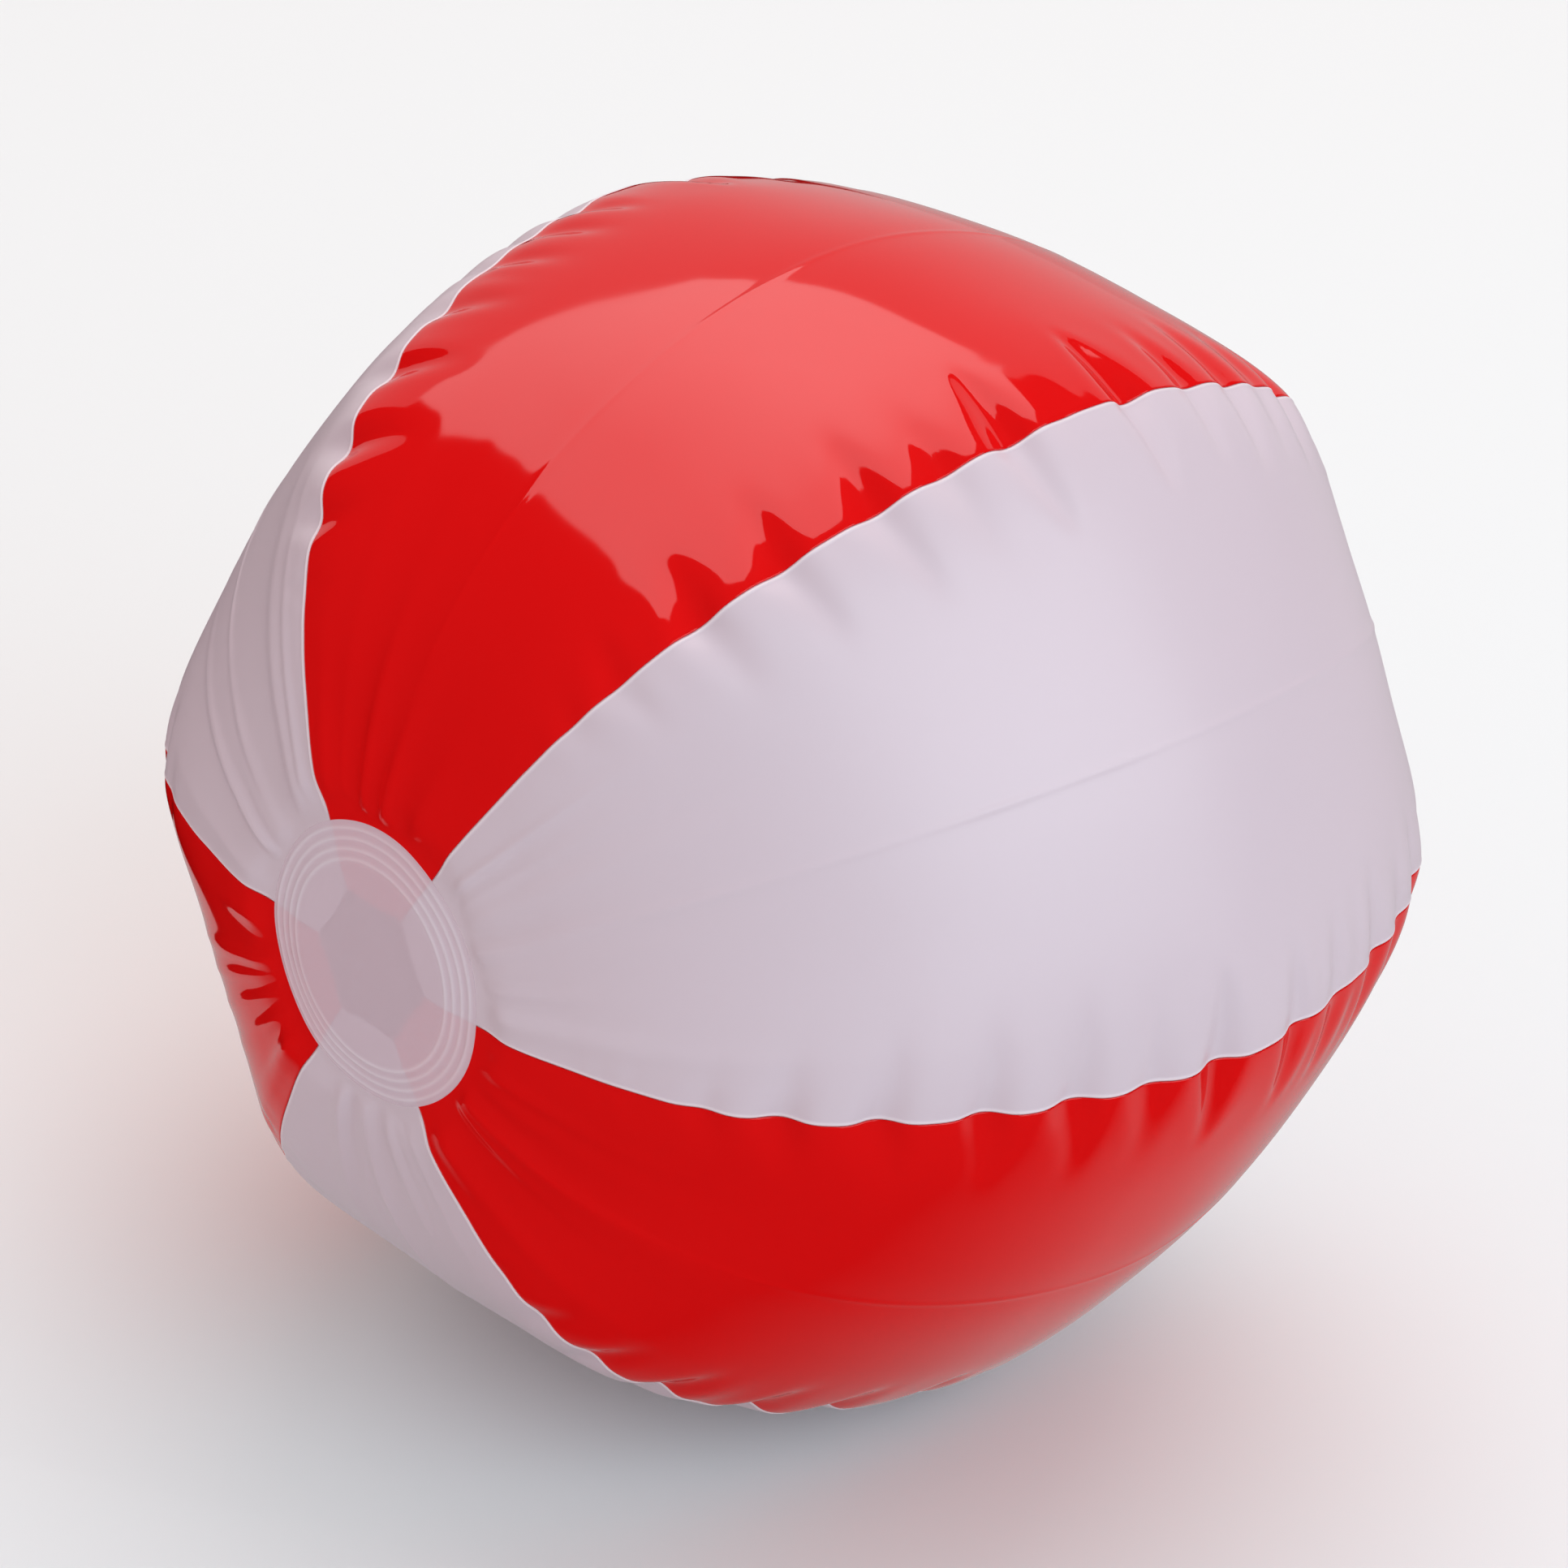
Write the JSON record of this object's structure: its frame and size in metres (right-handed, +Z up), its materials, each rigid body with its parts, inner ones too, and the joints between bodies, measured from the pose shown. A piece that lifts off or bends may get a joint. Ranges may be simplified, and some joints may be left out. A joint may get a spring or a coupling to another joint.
{
  "type": "inflatable beach ball",
  "caption": "Inflatable vinyl ball of welded red and white panels, with pole discs and a push-in blow-up valve.",
  "frame": {"origin": "middle of the small flat where the lowest panel rests on the floor", "axes": "+Z up; Y along the seam axis, the plain pole disc facing -Y and the valve's pole disc facing +Y; a seam runs round each side at +X and -X"},
  "size_m": [0.2878, 0.266, 0.2733],
  "materials": {
    "red_vinyl": "gloss",
    "white_vinyl": "gloss",
    "milky_vinyl": "satin",
    "clear_moulding": "satin"
  },
  "bodies": {
    "ball": {"panel_red_top": "red_vinyl", "panel_white_upper_left": "white_vinyl", "panel_red_lower_left": "red_vinyl", "panel_white_bottom": "white_vinyl", "panel_red_lower_right": "red_vinyl", "panel_white_upper_right": "white_vinyl", "front_pole_disc": "milky_vinyl", "rear_pole_disc": "milky_vinyl", "valve_flange": "clear_moulding", "valve_diaphragm": "clear_moulding"},
    "valve_stem": {"valve_stem": "clear_moulding", "stopper_strap": "clear_moulding"},
    "stopper": {"stopper": "clear_moulding"},
    "check_flap": {"check_flap": "clear_moulding"}
  },
  "joints": [
    {"name": "stem_slide", "type": "slide", "parent": "ball", "child": "valve_stem", "axis": [0, 1, 0], "range_m": [0, 0.011], "deforming": ["valve_diaphragm"]},
    {"name": "stopper_hinge", "type": "hinge", "parent": "valve_stem", "child": "stopper", "pos_m": [0, 0.13228, 0.14451], "axis": [1, 0, 0], "range_deg": [0, 140]},
    {"name": "check_flap_hinge", "type": "hinge", "parent": "valve_stem", "child": "check_flap", "pos_m": [0, 0.11868, 0.14051], "axis": [-1, 0, 0], "range_deg": [0, 60], "stiffness_Nm_per_rad": 0.00001}
  ]
}
